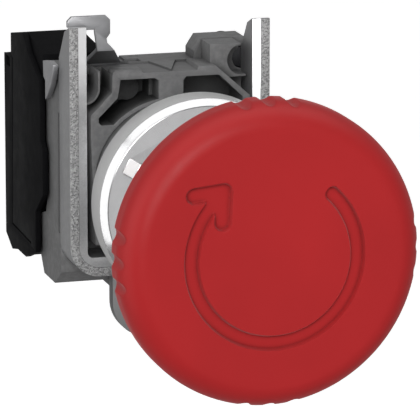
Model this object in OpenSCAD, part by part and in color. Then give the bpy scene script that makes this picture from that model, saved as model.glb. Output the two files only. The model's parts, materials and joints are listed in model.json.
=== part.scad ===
// Emergency stop button for a 22 mm panel hole, turn to release.
// +Y points away from the operator, +Z up, +X to the operator's right.
// The origin is on the button's axis, on the front face of the panel.

/* [Head] */
// Diameter of the red mushroom cap
cap_d = 40; // [36:1:40]
// Distance of the cap's face in front of the panel
cap_front = 38; // [36:0.5:40]
// Axial length of the cap's full-diameter edge
cap_edge = 1.8; // [1:0.2:3]
// Radius that rounds the rim of the cap's face
cap_round = 3.3; // [2:0.1:4]
// Depth of the turn arrow sunk in the cap's face
arrow_depth = 0.7; // [0.3:0.1:0.8]
// Depth of the finger grooves in the cap's edge
grip_depth = 0.6; // [0.4:0.05:1]
// Outer diameter of the chrome bezel
bezel_d = 29; // [28:0.5:30]
// Distance of the bezel's face in front of the panel
bezel_front = 6.6; // [6:0.2:7]
// Outer diameter of the neck where it passes through the panel
neck_d = 22.2; // [22:0.1:22.3]

/* [Collar] */
// Overall width of the metal clamping frame
frame_w = 28.4; // [28:0.2:29]
// Width of each arm of the clamping frame
arm_w = 2.45; // [2:0.05:2.8]
// Front face of the clamping frame, behind the panel's front
frame_front = 11.1; // [10.5:0.1:11.3]
// Depth of the clamping frame from front to back
frame_depth = 5.9; // [5:0.1:6]
// Height of the frame's arms above the axis
frame_top = 21.6; // [21:0.2:22.5]
// Depth of the frame's lower edge below the axis
frame_bottom = 13.2; // [13:0.1:13.6]
// Rear face of the collar body
collar_rear = 25.8; // [25.4:0.1:25.9]

/* [Contact block] */
// Width of one contact block
block_w = 10; // [9.6:0.1:10]
// Rear face of the contact block
block_rear = 45.5; // [44:0.5:47]

/* [Hidden] */
$fn = 96;

cap_r = cap_d / 2;
cap_face = -cap_front;
edge_front = cap_face + cap_round + 0.5;
edge_back = edge_front + cap_edge;
skirt_end = -12.6;
roof = cap_face + 2.9;
grip_r = 1;
ring_r_out = 11.9;
ring_r_in = 10.1;

bezel_r = bezel_d / 2;
bezel_face = -bezel_front;
bezel_back = -1.2;
bezel_chamfer = 0.9;
stem_r = 8.6;
stem_bore_r = 8.95;
neck_r = neck_d / 2;
tube_r = 10.6;
tube_bore_r = 9.2;
tube_end = 22;
lock_y0 = 18.3;
lock_y1 = 20.1;

rod_r = 3;
cone_r = 4.05;
cone_y0 = 9.4;
cone_y1 = 14.5;
cone_drop = 0.71;
pin_y = 14;
pin_r = 1;
pin_tip = 3.55;
pin_tail = 6.9;
carrier_y0 = 11;
carrier_y1 = 17;
bar_y0 = 22.6;
bar_y1 = 24.2;

arm_x = frame_w / 2;
arm_in = arm_x - arm_w;
frame_back = frame_front + frame_depth;
band_w = 1.2;
grip_step = 0.2;
collar_bore_r = 10.68;
plate_front = 11.3;
tower_front = 13;
hub_r = 11.26;
lock_ring_r = 12.6;
collar_x = 14;
collar_top = 14.9;
collar_low = -16.2;

block_x0 = -15.1;
block_x1 = block_x0 + block_w;
block_mid = block_x0 + block_w / 2;
cover_t = 0.8;
wall_front = 31.2;
wall_back = 32;
cavity_back = 41.4;
post_r = 1.6;
pin_thin_r = 0.9;
shoulder_y = 32.2;
bridge_y = 33.7;
bridge_t = 0.7;
term_z = 11.2;
well_r = 2.75;
well_end = 14.2;
wire_x = 2.45;
wire_y = 38.3;
wire_r = 0.95;
head_y0 = 40.5;
head_y1 = 42.7;
screw_r = 1.6;

// Extrudes a shape drawn in X and Z from y0 back to y1
module along_y(y0, y1) {
    translate([0, y1, 0]) rotate([90, 0, 0]) linear_extrude(y1 - y0) children();
}

// Extrudes a shape drawn in Y and Z from x0 to x1
module along_x(x0, x1) {
    translate([x0, 0, 0]) rotate([90, 0, 90]) linear_extrude(x1 - x0) children();
}

// Turns a profile drawn as radius and Y about the button's axis
module turned() {
    rotate([-90, 0, 0]) rotate_extrude() children();
}

// Round bar along Y from y0 to y1, centred at x and z
module rod_y(x, z, r, y0, y1) {
    translate([x, y0, z]) rotate([-90, 0, 0]) cylinder(r = r, h = y1 - y0);
}

// Flat ring along Y
module ring_y(r_in, r_out, y0, y1) {
    turned() translate([r_in, y0]) square([r_out - r_in, y1 - y0]);
}

// Box from one corner to the opposite corner
module block(a, b) {
    translate(a) cube(b - a);
}

// Points of an arc about c, from angle a0 to a1
function arc(c, r, a0, a1, n) =
    [for (i = [0:n]) let (a = a0 + (a1 - a0) * i / n) c + r * [cos(a), sin(a)]];

// Centre of a coil spring's wire at step k
function coil_at(k, steps, turns, r, h, wire) =
    let (a = 360 * turns * k / steps)
    [r * cos(a), r * sin(a), wire / 2 + (h - wire) * k / steps];

// Coil spring that stands on z = 0 and is h high
module coil(r, wire, h, turns, per_turn = 18, sides = 8) {
    steps = turns * per_turn;
    points = [for (k = [0:steps], j = [0:sides - 1])
        let (c = coil_at(k, steps, turns, r, h, wire),
            a = 360 * turns * k / steps,
            b = 360 * j / sides)
        c + wire / 2 * [cos(b) * cos(a), cos(b) * sin(a), sin(b)]];
    walls = [for (k = [0:steps - 1], j = [0:sides - 1])
        let (p = k * sides + j, q = k * sides + (j + 1) % sides)
        each [[p, q, q + sides], [p, q + sides, p + sides]]];
    start = [[for (j = [0:sides - 1]) sides - 1 - j]];
    end = [[for (j = [0:sides - 1]) steps * sides + j]];
    polyhedron(points, concat(walls, start, end));
}

// Coil spring along Y from y0 to y1
module coil_y(x, z, r, wire, y0, y1, turns, per_turn = 18) {
    translate([x, y0, z]) rotate([-90, 0, 0]) coil(r, wire, y1 - y0, turns, per_turn);
}

// ---- Head ----

// Turn arrow: a three-quarter ring with a head that points clockwise
module arrow_outline() {
    difference() {
        circle(r = ring_r_out);
        circle(r = ring_r_in);
        polygon([[0, 0], [20, 20.1], [0, 40], [-20, 23.84]]);
    }
    rotate(46.3) translate([(ring_r_in + ring_r_out) / 2, 0])
        circle(d = ring_r_out - ring_r_in, $fn = 32);
    for (end = [[-10.6, 8.74], [-6.9, 5.1]]) hull() {
        translate([-6.7, 9.15]) circle(r = 1, $fn = 32);
        translate(end) circle(r = 1, $fn = 32);
    }
}

// Red cap: a shell with a flat face, a rounded rim and a tapering skirt
module mushroom_cap() {
    rim = cap_r - cap_round;
    taper = [[cap_r - 1.2, edge_back + 1.1], [17.6, edge_back + 3.4],
        [15.4, edge_back + 8], [13.9, edge_back + 13], [12.9, skirt_end - 3]];
    outside = concat([[0, cap_face], [rim * 0.55, cap_face + 0.12], [rim - 1, cap_face + 0.42]],
        arc([rim, edge_front], cap_round, -90, 0, 10), [[cap_r, edge_back]], taper,
        [[12.5, skirt_end], [10.9, skirt_end]]);
    inside = [[10.9, skirt_end - 4], [12.2, skirt_end - 8], [17, edge_back + 1.4],
        [17, roof], [0, roof]];
    color("firebrick") difference() {
        turned() polygon(concat(outside, inside));
        along_y(cap_face - 1, cap_face + arrow_depth + 0.12) arrow_outline();
        for (side = [0:3], k = [-1:1]) rotate([0, side * 90 + k * 9.3, 0])
            rod_y(cap_r + grip_r - grip_depth, 0, grip_r, cap_face - 1, edge_back + 4);
    }
}

// Black core that clips under the cap's roof and turns on the stem
module cap_core() {
    color("dimgray") difference() {
        union() {
            ring_y(0, 16.8, roof + 0.05, roof + 1.5);
            ring_y(0, 10.7, roof + 1.4, skirt_end + 0.2);
        }
        rod_y(0, 0, 8.75, roof + 2.3, 0);
    }
    color("dimgray") rod_y(0, 0, 2.4, roof + 2.2, -14);
}

// Torsion spring that turns the cap back after release
module twist_spring() {
    color("silver") coil_y(0, 0, 4.9, 0.8, -31.6, -20.4, 7);
}

// Black stem that slides in the bezel and carries the cap
module plunger_stem() {
    color("dimgray") difference() {
        rod_y(0, 0, stem_r, -32.4, 2);
        rod_y(0, 0, 6, -33, -20);
        rod_y(0, 0, 2.48, -33, -13.4);
        rod_y(0, 0, rod_r + 0.03, -9, 3);
    }
}

// Rubber lip seal around the stem, seated in the bezel
module stem_seal() {
    color("black") turned()
        polygon([[8.66, -5.1], [9.1, -5.3], [9.95, -5.3], [9.95, -4], [9.1, -4], [8.66, -4.5]]);
}

// Steel rod behind the stem, with the cone that the latch pins ride on
module trigger_rod() {
    color("silver") turned() polygon([[0, -8.9], [rod_r, -8.9], [rod_r, 2.1],
        [cone_r, 2.1], [cone_r, cone_y0], [cone_r - cone_drop, cone_y1], [rod_r, cone_y1],
        [rod_r, bar_y0 - 0.05], [2.2, bar_y0 - 0.05], [2.2, 24.4], [1.7, 24.4],
        [1.7, 25.1], [2.2, 25.1], [2.2, 25.7], [0, 25.7]]);
}

// Spring that holds the button out
module return_spring() {
    color("silver") coil_y(0, 0, 5.4, 0.8, 2.1, carrier_y0 - 0.1, 4);
}

// Chrome bezel in one piece with the neck and the rear tube
module bezel_body() {
    color("silver") difference() {
        turned() polygon([[stem_bore_r, bezel_face],
            [bezel_r - bezel_chamfer, bezel_face], [bezel_r, bezel_face + 1.1],
            [bezel_r, bezel_back], [10.5, bezel_back], [10.5, 0], [neck_r, 0],
            [neck_r, 6.5], [tube_r, 6.9], [tube_r, lock_y0], [10.1, lock_y0],
            [10.1, lock_y1], [tube_r, lock_y1], [tube_r, tube_end - 0.6],
            [tube_r - 0.6, tube_end], [tube_bore_r, tube_end],
            [tube_bore_r, 0], [stem_bore_r, 0], [stem_bore_r, -3.9], [10, -3.9],
            [10, -5.4], [stem_bore_r, -5.4]]);
    }
    color("silver") rotate([0, -150.7, 0]) translate([0, 0, -1.1]) linear_extrude(2.2)
        polygon([[9.9, bezel_face - 1.25], [11.4, bezel_face - 1.25],
            [12.75, bezel_face + 0.1], [9.9, bezel_face + 0.1]]);
}

// Rubber gasket between the bezel and the panel
module panel_gasket() {
    color("black") turned() polygon([[10.55, bezel_back + 0.02], [14.1, bezel_back + 0.02],
        [14.1, -0.25], [13.85, 0], [11.2, 0], [10.55, -0.25]]);
}

// Ring that carries the two latch pins inside the tube
module latch_carrier() {
    color("dimgray") difference() {
        ring_y(4.7, 9.12, carrier_y0, carrier_y1);
        translate([-10, pin_y, 0]) rotate([0, 90, 0]) cylinder(r = pin_r + 0.06, h = 20);
    }
}

// Latch pin on the +X side, with a round tip against the cone
module latch_pin() {
    translate([pin_tip + pin_r, pin_y, 0]) sphere(r = pin_r, $fn = 48);
    translate([pin_tip + pin_r, pin_y, 0]) rotate([0, 90, 0])
        cylinder(r = pin_r, h = pin_tail - pin_tip - pin_r);
}

module latch_pin_left() {
    color("silver") mirror([1, 0, 0]) latch_pin();
}

module latch_pin_right() {
    color("silver") latch_pin();
}

// Small spring behind a latch pin, on the +X side
module latch_spring() {
    translate([pin_tail + 0.05, pin_y, 0]) rotate([0, 90, 0])
        coil(0.72, 0.24, 9.1 - pin_tail - 0.1, 3, 14, 6);
}

module latch_spring_left() {
    color("silver") mirror([1, 0, 0]) latch_spring();
}

module latch_spring_right() {
    color("silver") latch_spring();
}

// Plug that guides the rod at the rear end of the tube
module rear_guide() {
    color("dimgray") ring_y(rod_r + 0.08, 9.12, 19.4, tube_end);
}

// Bar on the rod's end that presses the contact blocks
module push_bar() {
    color("dimgray") difference() {
        union() {
            block([-12.4, bar_y0, -2.5], [12.4, bar_y1, 2.5]);
            rod_y(0, 0, 4.6, bar_y0, bar_y1);
        }
        rod_y(0, 0, 2.25, bar_y0 - 1, bar_y1 + 1);
    }
}

// Clip in the rod's groove that keeps the push bar on
module rod_clip() {
    color("silver") difference() {
        ring_y(1.75, 3.5, 24.45, 25.05);
        block([-1.5, 24, 0], [1.5, 25.5, 5]);
    }
}

// ---- Collar ----

// Outline of the clamping frame, seen from the front
module frame_outline() {
    r_out = 4.2;
    difference() {
        union() {
            translate([-arm_x, r_out - frame_bottom])
                square([frame_w, frame_top + frame_bottom - r_out]);
            translate([r_out - arm_x, -frame_bottom]) square([frame_w - 2 * r_out, 8]);
            for (s = [-1, 1]) translate([s * (arm_x - r_out), r_out - frame_bottom])
                circle(r = r_out);
        }
        translate([-arm_in, 0.8 - frame_bottom + arm_w + 0.2])
            square([2 * arm_in, 40]);
        translate([0.8 - arm_in, arm_w + 0.2 - frame_bottom])
            square([2 * arm_in - 1.6, 40]);
        for (s = [-1, 1]) translate([s * (arm_in - 0.8), 1 + arm_w - frame_bottom])
            circle(r = 0.8);
    }
}

// Inner edge of the frame's raised band
module band_inside() {
    r = 4.2 - arm_w + band_w;
    half = arm_in + band_w;
    low = arm_w - band_w - frame_bottom;
    translate([-half, low + r]) square([2 * half, 40]);
    translate([r - half, low]) square([2 * (half - r), 8]);
    for (s = [-1, 1]) translate([s * (half - r), low + r]) circle(r = r);
}

// Metal frame that clamps the panel from behind, with a round-cornered tongue below
module clamp_frame() {
    color("lightgray") difference() {
        union() {
            along_y(frame_front + grip_step, frame_back) frame_outline();
            along_y(frame_front, frame_front + 0.4) difference() {
                frame_outline();
                band_inside();
            }
        }
        rod_y(0, 0, collar_bore_r, 0, 40);
        along_x(-20, 20) polygon([[frame_front + 0.6, frame_top + 0.01],
            [13.9, 20.7], [frame_back - 0.1, 16.7], [frame_back + 3, 16.7],
            [frame_back + 3, 25], [frame_front + 0.6, 25]]);
    }
    color("lightgray") along_y(frame_front + 0.7, frame_front + 2.7) union() {
        translate([-8.1, -17.2]) square([16.2, 17.2 - frame_bottom + 0.6]);
        translate([-2.9, -22.4]) square([5.8, 6]);
        for (s = [-1, 1]) translate([s * 2.9, -17.2]) circle(r = 5.2);
    }
}

// Outline of the collar's front plate between the frame's arms
module plate_outline() {
    polygon([[-10.6, -8.8], [10.7, -8.8], [10.7, 8.8], [11.45, 9.8], [11.45, 10.95],
        [6.5, 15.4], [4.1, 15.4], [3.9, 14.9], [-8.1, 14.9], [-8.2, 12.4],
        [-11.2, 9.3], [-11.2, 6]]);
}

// Openings sunk in the front plate beside the tube
module plate_pockets() {
    difference() {
        union() {
            polygon([[-7, 14.1], [-2.2, 14.1], [-1.6, 13.8], [-1.6, 9], [-8, 7],
                [-8, 7.9], [-9.7, 7.9], [-10.1, 8.3], [-10.1, 8.95], [-7.4, 11.6]]);
            polygon([[1.9, 13.6], [2.3, 14.1], [7, 14.1], [10.4, 10.85], [10.4, 7],
                [1.9, 7]]);
        }
        circle(r = hub_r);
    }
}

// Tall slot with round ends beside the front plate
module slot_outline(r) {
    hull() {
        translate([-11.9, 12.9]) circle(r = r, $fn = 32);
        translate([-11.9, 18]) circle(r = r, $fn = 32);
    }
}

// Dark collar body that locks on the tube and carries the contact blocks
module collar_body() {
    color("dimgray") difference() {
        union() {
            along_y(plate_front, 17.4) plate_outline();
            along_y(plate_front, 14) polygon([[-8, 14.8], [-8.1, 15], [-7.7, 15.4],
                [-4, 15.4], [-3.8, 14.8]]);
            along_y(tower_front, 17.4) polygon([[6.2, 12], [6.2, 18], [10.5, 18],
                [11.3, 17.2], [11.3, 13.4], [8.8, 13.3], [8.2, 12]]);
            along_y(15.2, 17.4) polygon([[8, 8.8], [8, 14], [11.3, 14], [11.3, 8.8]]);
            along_y(17.3, 21.5) polygon([[5.1, 14.8], [5.1, 16.4], [6.2, 18.1],
                [12.3, 18.1], [13.2, 17.3], [13.4, 14.8]]);
            along_x(-collar_x, collar_x) polygon([[17.2, -9.8], [17.2, collar_top],
                [23.6, collar_top], [collar_rear, 12.8], [collar_rear, 2.7], [24.8, 1.6],
                [24.8, -4.7], [collar_rear, -7], [29.3, -8], [29.3, -13.4],
                [27.1, collar_low], [21, collar_low], [17.2, -13.8]]);
            along_x(-6.3, 6.3) polygon([[14.2, -13.4], [17.2, -13.4], [17.2, -11], [29, -11],
                [29, -15.6], [25, -17], [17.4, -17], [14.2, -15.4]]);
            translate([0, 0, collar_top - 0.1]) linear_extrude(0.4)
                polygon([[-4.1, 23], [-4.1, 17.9], [-1.2, 17.9], [0.3, 11.7], [2.6, 17.9],
                    [4.6, 17.9], [4.2, 16.2], [6.4, 16.2], [6.4, 23]]);
            along_y(12.2, 17.3) difference() {
                intersection() {
                    slot_outline(2.25);
                    translate([-11.5, 0]) square([3, 15.3]);
                }
                slot_outline(2);
            }
        }
        rod_y(0, 0, collar_bore_r, 0, 24.4);
        rod_y(0, 0, 12.9, lock_y0 - 0.2, lock_y1 + 0.2);
        along_y(0, 18) plate_pockets();
        block([-13, tube_end + 0.1, -6], [13, 40, 6]);
        along_y(lock_y0 - 0.2, lock_y1 + 0.2)
            polygon([[-10.4, 6], [-10.6, 20], [-1.6, 20], [-3.2, 6]]);
        along_y(0, 22) intersection() {
            slot_outline(2);
            translate([-13, 9]) square([4, 5]);
        }
        rod_y(10.8, 15.7, 2.15, 0, 16.6);
        rod_y(12, 15.2, 1.58, 0, 40);
        block([-14.4, 18.4, 12.9], [-12.1, 21.1, 14.3]);
        along_x(-14.5, -13.2) polygon([[17, 8.6], [18.5, 8.6], [19.2, -7.2],
            [18.8, -8.4], [17, -8.4]]);
    }
    color("dimgray") difference() {
        union() {
            rod_y(-5.1, 12.2, 1.7, 15.2, 18.05);
            block([-7.1, 15.2, 10.6], [-5.1, 18.05, 13.95]);
            block([-2.1, 14.6, 11], [-1.5, 18.05, 13.7]);
        }
        rod_y(0, 0, hub_r - 0.05, 0, 30);
    }
}

// Screw that drives the frame forward against the panel
module clamp_screw() {
    color("silver") difference() {
        union() {
            rod_y(12, 15.2, 1.5, frame_back + 0.03, collar_rear + 0.2);
            rod_y(12, 15.2, 1.8, collar_rear + 0.1, collar_rear + 2);
        }
        cross_slot(12, 15.2, collar_rear + 2, 1.3, 1.1);
    }
}

// Cross-shaped recess in a screw head whose top is at y_top
module cross_slot(x, z, y_top, reach, depth) {
    block([x - reach, y_top - depth, z - 0.35], [x + reach, y_top + 1, z + 0.35]);
    block([x - 0.35, y_top - depth, z - reach], [x + 0.35, y_top + 1, z + reach]);
}

// Steel ring whose two lugs hold the tube's groove
module lock_ring() {
    color("silver") along_y(18.5, 19.9) difference() {
        circle(r = lock_ring_r);
        difference() {
            circle(r = 10.7);
            for (a = [20, 200]) rotate(a) translate([10.2, -2]) square([2, 4]);
        }
    }
}

// Bent steel lever that turns the lock ring
module release_lever() {
    leg = [[18.6, 12.9], [18.6, 15.1], [12.1, 18.1], [12.1, 24], [12.7, 24],
        [12.7, 18.5], [19.2, 15.5], [19.2, 12.9]];
    front = [[-10, 12.5], [-10.2, 15.3], [-10, 18], [-10.4, 21.1], [-11.6, 21.1],
        [-11.6, 21.55], [-14.2, 21.55], [-14.2, 22.4], [-13.6, 23], [-8.8, 23],
        [-8.2, 22.4], [-8.2, 20.5], [-8.7, 19.8], [-8.6, 19.2], [-8.2, 18.8],
        [-5.1, 15.2], [-4.9, 12.5]];
    color("silver") intersection() {
        along_x(-16, 0) polygon(leg);
        along_y(10, 22) polygon(front);
    }
    color("silver") along_y(18.6, 19.2) difference() {
        polygon([[-9.6, 8.3], [-10, 13], [-5, 13], [-5, 11.7]]);
        circle(r = lock_ring_r);
    }
}

// Bent steel clip that latches the contact block to the collar
module block_clip() {
    color("silver") union() {
        along_x(-15, -14.25) polygon([[22.9, 15.1], [19.4, 15.7], [17, 15.5],
            [17.2, 14.6], [18.4, 12.6], [21, 10.3], [21.7, 9.8], [21.7, 12.5],
            [22.7, 12.9]]);
        block([-14.3, 18.6, 13.1], [-12.3, 20.9, 14.1]);
    }
}

// ---- Contact block ----

// Side outline of the contact block
module block_side(front, low_front) {
    polygon([[front, 2.4], [front, 15.3], [33.7, 16.8], [34.3, 17], [41.4, 15.7],
        [41.4, 12.9], [block_rear, 12.1], [block_rear, -14.3], [41.7, -16],
        [38.4, -15.3], [34.5, -15.3], [low_front, -13.2], [low_front, -8]]);
}

// Black housing with the switching chamber and two terminal wells
module block_housing() {
    x0 = block_x0 + cover_t + 0.05;
    color("black") difference() {
        along_x(x0, block_x1) block_side(collar_rear + 0.2, 29.5);
        along_y(20, 50) polygon([[-6.55, 18], [-6.55, 17.1], [-5, 14.6], [-4, 14.6], [-4, 18]]);
        block([-20, 20, -3.2], [0, 29.3, 3.2]);
        rod_y(block_mid, 0, 3.05, 29, wall_front);
        rod_y(block_mid, 0, post_r + 0.08, 31, wall_back + 0.1);
        block([block_mid - 3.4, wall_back, -8.6], [block_mid + 3.4, cavity_back, 8.6]);
        for (s = [-1, 1]) {
            block([block_mid - 3.4, wall_back + 0.35, min(s * 8, s * well_end)],
                [block_mid + 3.4, head_y0 + 0.1, max(s * 8, s * well_end)]);
            rod_y(block_mid, s * term_z, well_r, head_y0, 50);
            for (t = [-1, 1]) translate([block_mid + t * wire_x, wire_y, s * 15])
                cylinder(r = wire_r, h = 6, center = true);
        }
    }
}

// Side cover that closes the housing, with its moulded step
module block_cover() {
    color("black") difference() {
        along_x(block_x0, block_x0 + cover_t) polygon([[24.6, 3.4], [24.5, 9.8],
            [25.2, 12], [31.3, 14.7], [33.7, 16.8], [34.3, 17], [41.4, 15.7],
            [41.4, 12.9], [block_rear, 12.1], [block_rear, -14.3], [41.7, -16],
            [38.4, -15.3], [33.6, -15.3], [27.7, -13.3], [27.5, -7.3], [23.2, -4.1],
            [23.2, 2.4]]);
        along_x(block_x0 - 1, block_x0 + 0.25) polygon([[40.4, 12.3], [41.5, -12.3],
            [30.2, -12.7], [30.2, -12.4], [41.2, -12], [40.1, 12.3]]);
        block([block_x0 - 1, 41.8, 10.6], [block_x0 + 0.35, 44.3, 12]);
    }
}

// Plunger that the push bar drives into the block
module contact_plunger() {
    color("white") union() {
        rod_y(block_mid, 0, 2.85, bar_y1 + 0.1, 25.5);
        rod_y(block_mid, 0, post_r, 25.4, shoulder_y);
        rod_y(block_mid, 0, pin_thin_r, shoulder_y - 0.1, 35);
        rod_y(block_mid, 0, 1.4, 34.9, 35.7);
    }
}

// Spring that returns the plunger
module plunger_spring() {
    color("silver") coil_y(block_mid, 0, 2.4, 0.26, 25.55, wall_front - 0.05, 3, 14);
}

// Moving bar that joins the two fixed contacts
module contact_bridge() {
    color("goldenrod") difference() {
        block([block_mid - 1.5, bridge_y, -5.4], [block_mid + 1.5, bridge_y + bridge_t, 5.4]);
        rod_y(block_mid, 0, 1, bridge_y - 1, bridge_y + 2);
    }
}

// Silver tips on the moving bar
module moving_tips() {
    color("silver") for (s = [-1, 1])
        rod_y(block_mid, s * 4.3, 0.9, bridge_y - 0.32, bridge_y);
}

// Spring that closes the bridge on the fixed contacts
module bridge_spring() {
    color("silver") coil_y(block_mid, 0, 1.9, 0.3, bridge_y + bridge_t + 0.03,
        cavity_back - 0.05, 5, 14);
}

// Two stepped strips from the fixed contacts to the terminal screws
module terminal_strips() {
    color("goldenrod") for (s = [0, 1]) mirror([0, 0, s]) difference() {
        along_x(block_mid - 2.6, block_mid + 2.6) polygon([[wall_back + 0.4, 3.2],
            [wall_back + 0.4, 9.4], [36.2, 9.4], [36.2, 14.1], [37.2, 14.1], [37.2, 8.4],
            [33, 9], [33, 3.2]]);
        rod_y(block_mid, term_z, screw_r + 0.05, 30, 40);
    }
}

// Silver tips on the fixed strips
module fixed_tips() {
    color("silver") for (s = [-1, 1])
        rod_y(block_mid, s * 4.3, 0.9, 33, 33.33);
}

// Square clamping plates under the terminal screws
module wire_clamps() {
    color("silver") for (s = [-1, 1]) difference() {
        block([block_mid - 2.9, head_y0 - 0.95, s * term_z - 2.6],
            [block_mid + 2.9, head_y0 - 0.05, s * term_z + 2.6]);
        rod_y(block_mid, s * term_z, screw_r + 0.1, 30, 50);
    }
}

// Two terminal screws, reached from the rear
module terminal_screws() {
    color("silver") for (s = [-1, 1]) difference() {
        union() {
            rod_y(block_mid, s * term_z, screw_r, 33.6, head_y0 + 0.1);
            rod_y(block_mid, s * term_z, 2.6, head_y0, head_y1);
        }
        cross_slot(block_mid, s * term_z, head_y1, 1.8, 1.1);
    }
}

mushroom_cap();
cap_core();
twist_spring();
plunger_stem();
stem_seal();
trigger_rod();
return_spring();
bezel_body();
panel_gasket();
latch_carrier();
latch_pin_left();
latch_pin_right();
latch_spring_left();
latch_spring_right();
rear_guide();
push_bar();
rod_clip();
clamp_frame();
collar_body();
clamp_screw();
lock_ring();
release_lever();
block_clip();
block_housing();
block_cover();
contact_plunger();
plunger_spring();
contact_bridge();
moving_tips();
bridge_spring();
terminal_strips();
fixed_tips();
wire_clamps();
terminal_screws();
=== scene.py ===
import json
import math

import bmesh
import bpy
from mathutils import Matrix, Vector


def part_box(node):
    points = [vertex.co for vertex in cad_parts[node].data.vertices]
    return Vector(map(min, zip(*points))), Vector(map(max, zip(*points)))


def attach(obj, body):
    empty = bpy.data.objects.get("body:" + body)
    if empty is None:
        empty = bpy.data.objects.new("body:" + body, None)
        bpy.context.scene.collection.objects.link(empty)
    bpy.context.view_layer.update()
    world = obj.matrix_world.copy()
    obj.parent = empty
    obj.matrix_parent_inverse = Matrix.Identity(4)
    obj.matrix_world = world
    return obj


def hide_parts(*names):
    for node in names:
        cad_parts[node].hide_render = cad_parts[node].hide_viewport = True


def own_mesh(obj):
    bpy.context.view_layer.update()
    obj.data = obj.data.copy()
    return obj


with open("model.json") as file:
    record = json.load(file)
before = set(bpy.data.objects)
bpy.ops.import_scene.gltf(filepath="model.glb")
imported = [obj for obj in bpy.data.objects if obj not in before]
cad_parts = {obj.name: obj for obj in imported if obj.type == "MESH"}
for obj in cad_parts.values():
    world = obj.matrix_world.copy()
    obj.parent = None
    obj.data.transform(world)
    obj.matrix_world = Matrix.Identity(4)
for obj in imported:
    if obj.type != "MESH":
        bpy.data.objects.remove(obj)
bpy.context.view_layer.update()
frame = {"nodes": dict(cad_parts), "record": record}

MM = 0.001

# ---- Driving sizes, in millimetres, in the frame of the CAD ----
# The button's axis is Y, its front faces -Y, and the panel's front is y = 0.
CAP_LOW, CAP_HIGH = (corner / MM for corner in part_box("mushroom_cap"))
CAP_R = CAP_HIGH.z
CAP_FACE = CAP_LOW.y
SKIRT_END = CAP_HIGH.y
FACE_CROWN = 0.12        # the face's middle stands this far in front of its border
CAP_ROUND = 3.3
RIM_SET = 0.5            # the rim's round ends this much further back than its radius
EDGE_FRONT = CAP_FACE + CAP_ROUND + RIM_SET
EDGE_BAND = 1.8
EDGE_BACK = EDGE_FRONT + EDGE_BAND
BACK_ROUND = 1.1
SHELL_R, SHELL_ROOF = 17.0, CAP_FACE + 2.9
CORE_BORE_R, CORE_MOUTH_R = 10.92, 11.1
CENTRE_R = 0.02          # the smallest ring, closed by a flat face
GRIP_R = 1.0
GRIP_DEPTH = 0.6
GRIP_STEP = 9.3          # degrees between grooves

# The turn arrow: a curved shaft, by radius and angle, and a head of two straight barbs, by X and Z
ARROW_DEPTH = 0.7
ARROW_FILLET = 0.12
ARROW_IN, ARROW_OUT = 10.1, 11.9
SHAFT_START, SHAFT_END = 130, 360 + 46.3
ARROW_TIP = Vector((-6.7, 9.15))
ARROW_BARBS = Vector((-10.6, 8.74)), Vector((-6.9, 5.1))
BARB_HALF = 1
HEAD_BLEND = 0.3
ARROW_REACH = 7, 15.3    # the radii on the face between which the arrow lies

INDEX_TURN = 150.7       # clock angle of the bezel's index, in degrees
TONGUE_TOP = -13.6       # Z where the frame's raised band ends and its tongue begins
TONGUE_SHADE_FADE = -14, -11   # Z over which the painted shade on the tongue fades out
ARM_LIGHT_FADE = 9, 17         # Z over which painted light brightens the arms towards their ends
# Reach in millimetres of the painted shade in the moulded plastics' recesses
PAINTED_SHADE_REACH = 5
BLOCK_X = (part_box("block_housing")[1].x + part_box("block_cover")[0].x) / 2 / MM
PIN_Y = 14


# ---- Node helpers for materials ----

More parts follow.
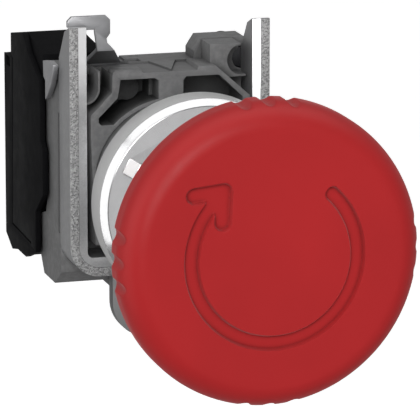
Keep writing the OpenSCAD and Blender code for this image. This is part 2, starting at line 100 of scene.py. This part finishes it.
class Shader:
    """A node material with one Principled shader, built by short calls."""

    def __init__(self, name, colour, roughness, metallic=0.0, **sockets):
        self.material = bpy.data.materials.new(name)
        self.material.use_nodes = True
        self.tree = self.material.node_tree
        self.bsdf = self.tree.nodes["Principled BSDF"]
        self.bsdf.inputs["Base Color"].default_value = (*colour, 1.0)
        self.bsdf.inputs["Roughness"].default_value = roughness
        self.bsdf.inputs["Metallic"].default_value = metallic
        for socket, value in sockets.items():
            self.bsdf.inputs[socket.replace("_", " ")].default_value = value
        self.bumps = []

    def node(self, kind, **values):
        made = self.tree.nodes.new(kind)
        for key, value in values.items():
            setattr(made, key, value)
        return made

    def link(self, source, target):
        self.tree.links.new(source, target)

    def place(self, stretch=(1, 1, 1)):
        """Coordinates in millimetres on the piece, stretched along its axes."""
        where = self.node("ShaderNodeTexCoord")
        mapping = self.node("ShaderNodeMapping")
        mapping.inputs["Scale"].default_value = [s / MM for s in stretch]
        self.link(where.outputs["Object"], mapping.inputs["Vector"])
        return mapping.outputs["Vector"]

    def noise(self, per_mm, detail=3.0, rough=0.55, stretch=(1, 1, 1)):
        """Noise with about per_mm cells in a millimetre."""
        noise = self.node("ShaderNodeTexNoise")
        noise.inputs["Scale"].default_value = per_mm
        noise.inputs["Detail"].default_value = detail
        noise.inputs["Roughness"].default_value = rough
        self.link(self.place(stretch), noise.inputs["Vector"])
        return noise.outputs["Fac"]

    def spread(self, factor, low, high, start=0.3, end=0.7):
        """Maps a factor from start..end to low..high."""
        made = self.node("ShaderNodeMapRange")
        for socket, value in (("From Min", start), ("From Max", end),
                              ("To Min", low), ("To Max", high)):
            made.inputs[socket].default_value = value
        self.link(factor, made.inputs["Value"])
        return made.outputs["Result"]

    def blend(self, factor, first, second):
        """A colour that runs from first to second with the factor."""
        mix = self.node("ShaderNodeMix", data_type="RGBA")
        self.link(factor, mix.inputs[0])
        for socket, colour in ((mix.inputs[6], first), (mix.inputs[7], second)):
            if isinstance(colour, bpy.types.NodeSocket):
                self.link(colour, socket)
            else:
                socket.default_value = (*colour, 1.0)
        return mix.outputs[2]

    def mottle(self, factor, colour, low, high, start=0.3, end=0.7):
        """A colour that varies with the factor between a darker and a lighter tint."""
        return self.blend(self.spread(factor, 0, 1, start, end), tint(colour, low),
                          tint(colour, high))

    def colour(self, source):
        self.link(source, self.bsdf.inputs["Base Color"])

    def roughness(self, source):
        self.link(source, self.bsdf.inputs["Roughness"])

    def bump(self, height, depth_mm, strength=1.0):
        """Adds a bump of this depth over the ones already there."""
        made = self.node("ShaderNodeBump")
        made.inputs["Strength"].default_value = strength
        made.inputs["Distance"].default_value = depth_mm * MM
        self.link(height, made.inputs["Height"])
        if self.bumps:
            self.link(self.bumps[-1], made.inputs["Normal"])
        self.bumps.append(made.outputs["Normal"])
        self.link(made.outputs["Normal"], self.bsdf.inputs["Normal"])

    def paint_crevice_shade(self, colour, reach_mm, floor):
        """Painted shade: darkens a colour in grooves and pockets, the more closely other surfaces
        surround it.
        """
        open_sky = self.node("ShaderNodeAmbientOcclusion", samples=8, only_local=True)
        open_sky.inputs["Distance"].default_value = reach_mm * MM
        mix = self.node("ShaderNodeMix", data_type="RGBA", blend_type="MULTIPLY")
        mix.inputs[0].default_value = 1.0
        grey = self.spread(open_sky.outputs["AO"], floor, 1.0, 0.25, 0.95)
        self.link(colour, mix.inputs[6])
        self.link(grey, mix.inputs[7])
        return mix.outputs[2]

    def edge_wear(self, strength):
        """A factor that rises on worn convex edges."""
        shape = self.node("ShaderNodeNewGeometry")
        sharp = self.spread(shape.outputs["Pointiness"], 0.0, strength, 0.505, 0.53)
        patchy = self.spread(self.noise(1.3, 4), 0.0, 1.0, 0.4, 0.65)
        both = self.node("ShaderNodeMath", operation="MULTIPLY")
        self.link(sharp, both.inputs[0])
        self.link(patchy, both.inputs[1])
        return both.outputs["Value"]


def tint(colour, factor):
    return tuple(channel * factor for channel in colour)


def moulded(name, colour, rough, shine=0.22, floor=0.5):
    """Moulded plastic: spark-eroded grain, slight flow marks, polish on the edges and painted
    shade in its recesses.
    """
    s = Shader(name, colour, rough, Specular_IOR_Level=shine)
    flow = s.noise(0.09, 3, stretch=(1, 1, 0.4))
    fine = s.noise(6.0, 4)
    shade = s.mottle(flow, colour, 0.88, 1.12)
    worn = s.blend(s.edge_wear(0.5), shade, tint(colour, 1.5))
    # Painted shade: the colour falls towards floor times itself in recesses and pockets
    s.colour(s.paint_crevice_shade(worn, PAINTED_SHADE_REACH, floor))
    s.roughness(s.spread(s.noise(0.5, 4), rough - 0.05, rough + 0.07))
    s.bump(fine, 0.006)
    s.bump(flow, 0.02, 0.25)
    return s.material


def red_cap_plastic():
    """Glossy red cap with a faint orange peel, fine handling marks and painted shade in the
    arrow's groove.
    """
    colour = (0.43, 0.018, 0.020)
    s = Shader("red_cap_plastic", colour, 0.42, Specular_IOR_Level=0.16, Sheen_Weight=0.22,
               Sheen_Roughness=0.35, Sheen_Tint=(1.0, 0.16, 0.16, 1.0))
    cloud = s.noise(0.05, 3)
    shade = s.mottle(cloud, colour, 0.95, 1.06)
    # Painted shade: the colour darkens near the walls of the arrow's groove
    s.colour(s.paint_crevice_shade(shade, 0.7, 0.08))
    scuff = s.noise(0.9, 5, 0.7, stretch=(1, 1, 0.25))
    s.roughness(s.spread(scuff, 0.38, 0.48))
    s.bump(s.noise(0.6, 2), 0.006, 0.35)
    s.bump(s.noise(9.0, 3), 0.0025)
    return s.material


def chrome():
    """Bright plate over a turned casting: turning lines and light hazing."""
    colour = (0.50, 0.50, 0.505)
    s = Shader("chrome_plate", colour, 0.16, 0.85)
    haze = s.noise(0.35, 4)
    s.colour(s.mottle(haze, colour, 0.96, 1.04))
    s.roughness(s.spread(s.noise(1.2, 5, 0.65), 0.14, 0.24))
    s.bump(s.noise(0.8, 2), 0.003, 0.3)
    return s.material


def cast_metal(name, colour, top=1.0):
    """Die-cast zinc with a satin skin, with painted shade on the tongue and painted light, tinted
    by top, towards the arms' ends.
    """
    s = Shader(name, colour, 0.4, 0.75)
    speck = s.noise(3.8, 4, 0.75)
    shade = s.mottle(speck, colour, 0.9, 1.1, 0.35, 0.65)
    worn = s.blend(s.edge_wear(0.4), shade, tint(colour, 1.35))
    split = s.node("ShaderNodeSeparateXYZ")
    s.link(s.place(), split.inputs["Vector"])
    height = split.outputs["Z"]
    # Painted shade: low on the tongue the colour falls to 0.4 of itself
    shaded_tongue = s.blend(s.spread(height, 0, 1, *TONGUE_SHADE_FADE), tint(colour, 0.4), worn)
    # Painted light: towards the arms' ends the colour turns to the top tint
    s.colour(s.blend(s.spread(height, 0, 1, *ARM_LIGHT_FADE), shaded_tongue, tint(colour, top)))
    s.roughness(s.spread(speck, 0.33, 0.5))
    s.bump(speck, 0.01)
    return s.material


def satin_plate(name, colour, metallic):
    """Plate over a fine-blasted ground, which scatters light more than it mirrors it."""
    s = Shader(name, colour, 0.42, metallic)
    speck = s.noise(4.5, 4, 0.7)
    s.colour(s.mottle(speck, colour, 0.96, 1.04))
    s.roughness(s.spread(speck, 0.36, 0.5))
    s.bump(speck, 0.004)
    return s.material


def cast_grain(name, colour):
    """The raised band of the casting, blasted to a coarse salt-and-pepper grain."""
    size = 5.5
    s = Shader(name, colour, 0.55, 0.35)
    cells = s.node("ShaderNodeTexVoronoi")
    cells.inputs["Scale"].default_value = size
    s.link(s.place(), cells.inputs["Vector"])
    grey = s.node("ShaderNodeSeparateColor")
    s.link(cells.outputs["Color"], grey.inputs[0])
    shade = s.mottle(grey.outputs[0], colour, 0.35, 1.65, 0.1, 0.9)
    speck = s.noise(size * 1.6, 3, 0.7)
    s.colour(s.blend(s.spread(speck, 0, 0.6, 0.35, 0.65), shade, tint(colour, 1.1)))
    s.bump(cells.outputs["Distance"], 0.08)
    s.bump(speck, 0.05)
    return s.material


def sheet_steel(name, colour, rough):
    """Rolled or drawn steel with fine lines along one direction."""
    s = Shader(name, colour, rough, 0.9)
    lines = s.noise(3.0, 4, 0.7, stretch=(0.15, 1, 6))
    blotch = s.noise(0.4, 3)
    s.colour(s.mottle(blotch, colour, 0.92, 1.06))
    s.roughness(s.spread(lines, rough - 0.07, rough + 0.1))
    s.bump(lines, 0.003, 0.7)
    return s.material


def rubber():
    """Black rubber with a matt, dusty skin."""
    colour = (0.012, 0.012, 0.013)
    s = Shader("black_rubber", colour, 0.72)
    dust = s.noise(0.7, 5, 0.7)
    s.colour(s.blend(s.spread(dust, 0, 1), colour, (0.022, 0.022, 0.022)))
    s.roughness(s.spread(dust, 0.65, 0.82))
    s.bump(s.noise(5.0, 4), 0.008)
    return s.material


def backdrop_material():
    """Matt pale paper with a faint glow of its own, so that it stays near white."""
    s = Shader("pale_backdrop", (0.86, 0.86, 0.86), 0.8)
    s.colour(s.blend(s.noise(0.02, 2), (0.85, 0.85, 0.85), (0.88, 0.88, 0.88)))
    s.bsdf.inputs["Emission Color"].default_value = (1, 1, 1, 1)
    s.bsdf.inputs["Emission Strength"].default_value = 0.6
    return s.material


MATERIALS = {
    "red_plastic": red_cap_plastic(),
    "chrome": chrome(),
    "cast_metal": cast_metal("cast_metal", (0.31, 0.31, 0.315)),
    # Lighter copy of the cast metal for the frame's front-facing faces: painted light, stronger
    # towards the arms' ends
    "cast_front_lit": cast_metal("cast_front_lit", (0.65, 0.65, 0.655), 1.52),
    "satin_side": satin_plate("satin_side", (0.60, 0.60, 0.60), 0.3),
    # Near-white diffuse colour for the index faces: a painted highlight in place of the plated
    # index's glint
    "index_glint": satin_plate("index_glint", (0.97, 0.97, 0.97), 0.0),
    "cast_grain": cast_grain("cast_grain", (0.31, 0.31, 0.31)),
    # The dark plastic's floor of 0.12 paints deep shade into its pockets
    "dark_plastic": moulded("dark_plastic", (0.145, 0.145, 0.146), 0.5, floor=0.12),
    "black_plastic": moulded("black_plastic", (0.0035, 0.0035, 0.004), 0.62, shine=0.04),
    "white_plastic": moulded("white_plastic", (0.72, 0.71, 0.68), 0.4),
    "spring_steel": sheet_steel("spring_steel", (0.50, 0.50, 0.51), 0.28),
    "pressed_steel": sheet_steel("pressed_steel", (0.36, 0.36, 0.37), 0.42),
    "screw_steel": sheet_steel("screw_steel", (0.52, 0.52, 0.50), 0.32),
    "brass": sheet_steel("brass", (0.62, 0.42, 0.16), 0.3),
    "silver_tip": sheet_steel("silver_tip", (0.75, 0.75, 0.73), 0.25),
    "black_rubber": rubber(),
    # Near-black steel for the clamp screw: painted shade, so that it sinks into the dark of its
    # well
    "screw_shade_steel": sheet_steel("screw_shade_steel", (0.03, 0.03, 0.032), 0.5),
}
SLOT_OF = {s["node"]: s["material_slot"] for s in frame["record"]["subparts"]}
BODY_OF = {n: b for b, ns in frame["record"]["behaviour"]["bodies"].items() for n in ns}


# ---- Mesh helpers ----

def add_object(name, data):
    """A new object in the scene that holds a mesh, a light or a camera."""
    made = bpy.data.objects.new(name, data)
    bpy.context.scene.collection.objects.link(made)
    return made


def skin(bm, rings):
    """Joins rings of vertices into a tube with a flat face on each end."""
    count = len(rings[0])
    for first, second in zip(rings, rings[1:]):
        for k in range(count):
            after = (k + 1) % count
            bm.faces.new((first[k], first[after], second[after], second[k]))
    bm.faces.new(rings[0])
    bm.faces.new(rings[-1])


def new_piece(name, bm, material, body, replaced, smooth_angle=35):
    """Turns a bmesh in metres into a finished piece that rides on a body."""
    mesh = bpy.data.meshes.new(name)
    bmesh.ops.recalc_face_normals(bm, faces=bm.faces)
    bm.to_mesh(mesh)
    bm.free()
    piece = add_object(name, mesh)
    mesh.materials.append(material)
    mesh.polygons.foreach_set("use_smooth", [True] * len(mesh.polygons))
    mesh.set_sharp_from_angle(angle=math.radians(smooth_angle))
    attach(piece, body)
    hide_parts(*replaced)
    return piece


def refined(node, edge_mm):
    """A copy of a CAD node's shape with every sharp edge rounded."""
    bm = bmesh.new()
    bm.from_mesh(frame["nodes"][node].data)
    bmesh.ops.remove_doubles(bm, verts=bm.verts, dist=0.002 * MM)
    bmesh.ops.dissolve_limit(bm, angle_limit=math.radians(0.6), verts=bm.verts, edges=bm.edges)
    rough = bpy.data.meshes.new(node + "_rough")
    bm.to_mesh(rough)
    bm.free()
    blank = add_object(node + "_rough", rough)
    bevel = blank.modifiers.new("edges", "BEVEL")
    bevel.width = edge_mm * MM
    bevel.segments = 2
    bevel.limit_method = "ANGLE"
    bevel.angle_limit = math.radians(32)
    bevel.miter_outer = "MITER_ARC"
    bevel.use_clamp_overlap = True
    made = bmesh.new()
    made.from_object(blank, bpy.context.evaluated_depsgraph_get())
    bpy.data.objects.remove(blank)
    bpy.data.meshes.remove(rough)
    return made


def refine(node, name, edge_mm, look=None):
    """A rounded copy in the place of its CAD node, in the slot's material or another look."""
    slot = SLOT_OF[node]
    return new_piece(name, refined(node, edge_mm), MATERIALS[look or slot], BODY_OF[node],
                     [node])


# ---- The cap ----

def smooth_min(a, b, width):
    """The lesser of two numbers, with a soft change between them."""
    h = max(width - abs(a - b), 0) / width
    return min(a, b) - h * h * width / 4


def segment_distance(p, a, b):
    """Distance from a point to the straight line between two others."""
    along = max(0, min(1, (p - a).dot(b - a) / (b - a).length_squared))
    return (p - a - along * (b - a)).length


def arrow_distance(x, z):
    """Distance to the turn arrow's outline on the cap's face, negative inside."""
    p = Vector((x, z))
    turn = math.degrees(math.atan2(z, x)) % 360
    if turn < SHAFT_START - 60:     # the shaft runs on past 360 degrees
        turn += 360
    middle, half = (ARROW_IN + ARROW_OUT) / 2, (ARROW_OUT - ARROW_IN) / 2
    clamped = max(SHAFT_START, min(SHAFT_END, turn))
    nearest = Vector((math.cos(math.radians(clamped)), math.sin(math.radians(clamped)))) * middle
    shaft = (p - nearest).length - half
    head = min(segment_distance(p, ARROW_TIP, barb) for barb in ARROW_BARBS)
    return smooth_min(shaft, head - BARB_HALF, HEAD_BLEND)


def cap_profile():
    """Radius and Y along the cap's outside, from the face's middle to the skirt's end."""
    rim = CAP_R - CAP_ROUND
    face = [CENTRE_R, 3, 5.5, 7.1] + [7.2 + 0.12 * i for i in range(67)]
    points = [(r, CAP_FACE + FACE_CROWN * (r / rim) ** 2) for r in face]
    for i in range(25):
        a = math.radians(90 * i / 24)
        ease = (RIM_SET - FACE_CROWN) * math.cos(a) ** 2
        points.append((rim + CAP_ROUND * math.sin(a),
                       EDGE_FRONT - CAP_ROUND * math.cos(a) - ease))
    points += [(CAP_R, EDGE_FRONT + EDGE_BAND * i / 4) for i in range(1, 5)]
    for i in range(1, 7):
        a = math.radians(80 * i / 6)
        points.append((CAP_R - BACK_ROUND * (1 - math.cos(a)),
                       EDGE_BACK + BACK_ROUND * math.sin(a)))
    points += [(17.6, EDGE_BACK + 3.4), (16.3, EDGE_BACK + 5.9), (15.2, EDGE_BACK + 8.7),
               (14.3, EDGE_BACK + 11.5), (13.6, EDGE_BACK + 14.2), (12.95, SKIRT_END - 2.6),
               (12.6, SKIRT_END - 0.5), (12.45, SKIRT_END - 0.15), (12.2, SKIRT_END)]
    return points


def grip_limit(turn):
    """Largest radius left by the finger grooves at an angle in degrees."""
    limit = CAP_R + 5
    centre = CAP_R + GRIP_R - GRIP_DEPTH
    for side in (0, 90, 180, 270):
        for k in (-1, 0, 1):
            off = math.radians((turn - side - k * GRIP_STEP + 180) % 360 - 180)
            if abs(off) < 0.2 and abs(centre * math.sin(off)) < GRIP_R:
                reach = (GRIP_R ** 2 - (centre * math.sin(off)) ** 2) ** 0.5
                limit = min(limit, centre * math.cos(off) - reach)
    return limit


def red_cap():
    """The cap as one closed skin, with the arrow sunk in its face and the grooves in its rim."""
    steps = 720
    outside = cap_profile()
    inside = [(CORE_MOUTH_R, SKIRT_END), (CORE_BORE_R, SKIRT_END - 0.2),
              (CORE_BORE_R, SKIRT_END - 4), (12.2, SKIRT_END - 8), (SHELL_R, EDGE_BACK + 1.4),
              (SHELL_R, SHELL_ROOF), (CENTRE_R, SHELL_ROOF)]
    near, far = ARROW_REACH
    bm = bmesh.new()
    rings = []
    for n, (radius, y) in enumerate(outside + inside):
        ring = []
        for k in range(steps):
            turn = 360 * k / steps
            c, s = math.cos(math.radians(turn)), math.sin(math.radians(turn))
            r, depth = radius, 0
            if n < len(outside) and radius > CAP_R - 2.2:
                r = smooth_min(radius, grip_limit(turn), 0.12)
            elif n < len(outside) and near < radius < far and y < EDGE_FRONT:
                away = arrow_distance(radius * c, radius * s)
                t = max(0, min(1, 0.5 - away / (2 * ARROW_FILLET)))
                depth = ARROW_DEPTH * t * t * (3 - 2 * t)
            ring.append(bm.verts.new((r * c * MM, (y + depth) * MM, r * s * MM)))
        rings.append(ring)
    skin(bm, rings)
    new_piece("red_cap", bm, MATERIALS["red_plastic"], "cap", ["mushroom_cap"], 50)


# ---- Springs ----

def spring(node, name, axis, centre, radius, wire, turns):
    """A coil spring with flat end turns that fills its CAD node's length."""
    low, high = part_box(node)
    along = "XYZ".index(axis)
    other, third = (along + 1) % 3, (along + 2) % 3
    sides, per_turn, flat = 12, 40, 0.55
    radius, wire = radius * MM, wire * MM
    total = turns + 2 * flat
    pitch = (high[along] - low[along] - wire) / turns
    bm = bmesh.new()
    rings = []
    for k in range(int(total * per_turn) + 1):
        turn = k / per_turn
        angle = 2 * math.pi * turn
        climb = low[along] + wire / 2 + pitch * max(0, min(turns, turn - flat))
        ring = []
        for j in range(sides):
            b = 2 * math.pi * j / sides
            reach = radius + wire / 2 * math.cos(b)
            at = Vector(centre) * MM
            at[along] = climb + wire / 2 * math.sin(b)
            at[other] += reach * math.cos(angle)
            at[third] += reach * math.sin(angle)
            ring.append(bm.verts.new(at))
        rings.append(ring)
    skin(bm, rings)
    return new_piece(name, bm, MATERIALS["spring_steel"], BODY_OF[node], [node], 60)


# ---- Faces of the frame and the bezel with looks of their own: grain, satin metal, and painted light ----

def frame_faces(frame_piece):
    """Coarse grain on the raised band of the frame's front; its other front-facing faces get a
    lighter copy of the cast metal, a painted light.
    """
    mesh = frame_piece.data
    grain, lit_front = 1, 2
    mesh.materials.append(MATERIALS["cast_grain"])
    mesh.materials.append(MATERIALS["cast_front_lit"])
    bm = bmesh.new()
    bm.from_mesh(mesh)
    bmesh.ops.bisect_plane(bm, geom=bm.verts[:] + bm.edges[:] + bm.faces[:],
                           plane_co=(0, 0, TONGUE_TOP * MM), plane_no=(0, 0, 1))
    bm.to_mesh(mesh)
    bm.free()
    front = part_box("clamp_frame")[0].y + 0.1 * MM
    # Front-facing faces off the raised band take the lighter copy: painted light chosen by facing
    for face in mesh.polygons:
        if face.normal.y < -0.9:
            raised = face.center.y < front and face.center.z > TONGUE_TOP * MM
            face.material_index = grain if raised else lit_front


def bezel_faces(bezel_piece):
    """Satin neck and tube, satin outer side, and a painted highlight on the plated bezel's index.
    """
    neck, side, glint_index = 1, 2, 3
    for look in ("cast_metal", "satin_side", "index_glint"):
        bezel_piece.data.materials.append(MATERIALS[look])
    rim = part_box("bezel_body")[1].x - 0.4 * MM
    for face in bezel_piece.data.polygons:
        at, way = face.center, face.normal
        out, turn = math.hypot(at.x, at.z), math.degrees(math.atan2(at.z, at.x))
        if at.y > -1.0 * MM:
            face.material_index = neck
        elif out > rim and abs(way.y) < 0.3:
            face.material_index = side
        # Index faces turned up and forward get the painted highlight
        elif out < rim - 1 * MM and abs(turn - INDEX_TURN) < 9 and -0.9 < way.y < -0.4:
            face.material_index = glint_index


# ---- Pieces ----

red_cap()

for node, name, edge in (
        ("bezel_body", "chrome_bezel", 0.16),
        ("clamp_frame", "cast_frame", 0.18),
        ("collar_body", "dark_collar", 0.14),
        ("release_lever", "steel_lever", 0.12),
        ("block_clip", "steel_clip", 0.08),
        ("block_housing", "black_housing", 0.12),
        ("block_cover", "black_cover", 0.12),
        ("cap_core", "turning_core", 0.15),
        ("push_bar", "pusher", 0.12),
        ("terminal_screws", "wire_screws", 0.1),
        ("panel_gasket", "gasket", 0.06),
        ("plunger_stem", "stem", 0.12),
        ("trigger_rod", "latch_rod", 0.1),
        ("latch_carrier", "pin_carrier", 0.1),
        ("rear_guide", "guide_plug", 0.1),
        ("rod_clip", "bar_clip", 0.06),
        ("lock_ring", "steel_ring", 0.08),
        ("contact_plunger", "white_plunger", 0.08),
        ("contact_bridge", "brass_bridge", 0.06),
        ("terminal_strips", "brass_strips", 0.08),
        ("wire_clamps", "clamp_plates", 0.06)):
    refine(node, name, edge)
# The clamp screw takes the near-black steel: painted shade in its well
refine("clamp_screw", "frame_screw", 0.1, "screw_shade_steel")

frame_faces(bpy.data.objects["cast_frame"])
bezel_faces(bpy.data.objects["chrome_bezel"])

# Each spring: node, name, axis, centre, coil radius, wire, turns, and its flattening data:
# joint, the end that stays, and the share of its length left at the joint's limit; here that data
# only gives the spring a mesh of its own
for node, name, axis, centre, radius, wire, turns, flattens in (
        ("twist_spring", "head_spring", "Y", (0, 0, 0), 4.9, 0.8, 7, None),
        ("return_spring", "main_spring", "Y", (0, 0, 0), 5.4, 0.8, 4, ("button_push", 1, 0.511)),
        ("plunger_spring", "slider_spring", "Y", (BLOCK_X, 0, 0), 2.4, 0.26, 3,
         ("contact_push", 1, 0.232)),
        ("bridge_spring", "closing_spring", "Y", (BLOCK_X, 0, 0), 1.9, 0.3, 5,
         ("contact_open", 1, 0.59)),
        ("latch_spring_left", "pin_spring_left", "X", (0, PIN_Y, 0), 0.72, 0.24, 3,
         ("latch_left_slide", 0, 0.714)),
        ("latch_spring_right", "pin_spring_right", "X", (0, PIN_Y, 0), 0.72, 0.24, 3,
         ("latch_right_slide", 1, 0.714))):
    coil = spring(node, name, axis, centre, radius, wire, turns)
    if flattens:
        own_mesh(coil)

for node, cad in frame["nodes"].items():
    if not cad.hide_render:
        cad.data.materials.clear()
        cad.data.materials.append(MATERIALS[SLOT_OF[node]])


# ---- Studio ----

HEAD_MIDDLE = Vector((0, -0.02, 0))
STRIP_RADIANCE, CARD_RADIANCE = 1.9, 0.6
PANEL_SIZE = 0.8, 0.8
AZIMUTH, ELEVATION, DISTANCE = -16.42, 13.13, 0.55895
FOCAL_PIXELS, PHOTO_WIDTH, SENSOR = 4247.17, 420, 36
AIM_LEFT, AIM_UP = 1.88, 1.28


def backdrop():
    """A pale floor that curves up behind the object."""
    half, front, floor, back, rise, turn_r, steps = 5.0, -6, -0.16, 1.6, 2.0, 0.8, 12
    path = [(front, floor), (back - turn_r, floor)]
    for i in range(1, steps + 1):
        a = math.radians(90 * i / steps)
        path.append((back - turn_r + turn_r * math.sin(a), floor + turn_r * (1 - math.cos(a))))
    path.append((back, floor + rise))
    bm = bmesh.new()
    left = [bm.verts.new((-half, y, z)) for y, z in path]
    right = [bm.verts.new((half, y, z)) for y, z in path]
    for i in range(len(path) - 1):
        bm.faces.new((left[i], left[i + 1], right[i + 1], right[i]))
    mesh = bpy.data.meshes.new("backdrop")
    bm.to_mesh(mesh)
    bm.free()
    sheet = add_object("backdrop", mesh)
    mesh.materials.append(backdrop_material())
    mesh.polygons.foreach_set("use_smooth", [True] * len(mesh.polygons))
    sheet.visible_glossy = False
    sheet.visible_diffuse = False


def power_of(radiance, size):
    """Power in watts of a rectangular light that shows this radiance."""
    return radiance * math.pi * size[0] * size[1]


def softbox(name, place, aim, size, power):
    """A rectangular light at a place, facing a point."""
    light = bpy.data.lights.new(name, "AREA")
    light.shape = "RECTANGLE"
    light.size, light.size_y = size
    light.energy = power
    lamp = add_object(name, light)
    lamp.location = place
    lamp.rotation_euler = (Vector(aim) - Vector(place)).to_track_quat("-Z", "Y").to_euler()
    return lamp


def strip(name, start, end, radiance):
    """A long softbox beside the button, from one clock angle to another, for reflections only."""
    depth, away = 0.8, 1.0
    middle, half = math.radians((start + end) / 2), math.radians((end - start) / 2)
    size = (depth, 2 * away * math.tan(half))
    place = Vector((away * math.cos(middle), -0.12, away * math.sin(middle)))
    lamp = softbox(name, place, HEAD_MIDDLE, size, power_of(radiance, size))
    lamp.visible_diffuse = False
    toward = (HEAD_MIDDLE - place).normalized()
    along = Vector((0, 1, 0))
    across = toward.cross(along).normalized()
    turned = Matrix((across.cross(toward) * -1, across, -toward)).transposed()
    lamp.rotation_euler = turned.to_euler()


def world_light():
    """An even pale room, a little darker on the camera's side."""
    world = bpy.data.worlds.new("studio")
    bpy.context.scene.world = world
    world.use_nodes = True
    tree = world.node_tree
    background = tree.nodes["Background"]
    background.inputs["Strength"].default_value = 0.41
    where = tree.nodes.new("ShaderNodeTexCoord")
    split = tree.nodes.new("ShaderNodeSeparateXYZ")
    ramp = tree.nodes.new("ShaderNodeValToRGB")
    for stop, position, grey in zip(ramp.color_ramp.elements, (0.15, 0.75), (0.85, 1)):
        stop.position = position
        stop.color = (grey, grey, grey, 1)
    half = tree.nodes.new("ShaderNodeMath")
    half.operation = "MULTIPLY_ADD"
    half.inputs[1].default_value = 0.5
    half.inputs[2].default_value = 0.5
    tree.links.new(where.outputs["Generated"], split.inputs[0])
    tree.links.new(split.outputs["Y"], half.inputs[0])
    tree.links.new(half.outputs[0], ramp.inputs[0])
    tree.links.new(ramp.outputs[0], background.inputs["Color"])


def camera():
    """The camera that was fitted to the photo's circles and straight edges."""
    azimuth, elevation = math.radians(AZIMUTH), math.radians(ELEVATION)
    back = Vector((math.sin(azimuth) * math.cos(elevation),
                   -math.cos(azimuth) * math.cos(elevation), math.sin(elevation)))
    right = Vector((math.cos(azimuth), math.sin(azimuth), 0))
    up = right.cross(-back)
    target = Vector((0, -15 * MM, 0))
    aim = target - AIM_LEFT * MM * right + AIM_UP * MM * up
    data = bpy.data.cameras.new("camera")
    data.sensor_width = SENSOR
    data.lens = SENSOR * (FOCAL_PIXELS / PHOTO_WIDTH)
    data.clip_start, data.clip_end = 0.05, 20
    eye = add_object("camera", data)
    eye.location = target + DISTANCE * back
    eye.rotation_euler = (aim - eye.location).to_track_quat("-Z", "Y").to_euler()
    bpy.context.scene.camera = eye


backdrop()
world_light()
softbox("key", (-0.45, -1.25, 0.5), (0, 0, 0), PANEL_SIZE, 14.2)
card = softbox("front_card", (0.28, -0.95, -0.23), (0, 0, 0), PANEL_SIZE,
               power_of(CARD_RADIANCE, PANEL_SIZE))
card.visible_diffuse = False
card.visible_camera = False
strip("upper_strip", 40, 137.6, STRIP_RADIANCE)
strip("left_strip", 140, 216, STRIP_RADIANCE)

# The red cap and what it covers stay out of reflections, so that the metal mirrors grey only
for name in ("red_cap", "turning_core", "stem", "head_spring"):
    bpy.data.objects[name].visible_glossy = False
camera()
bpy.context.scene.view_settings.view_transform = "Standard"
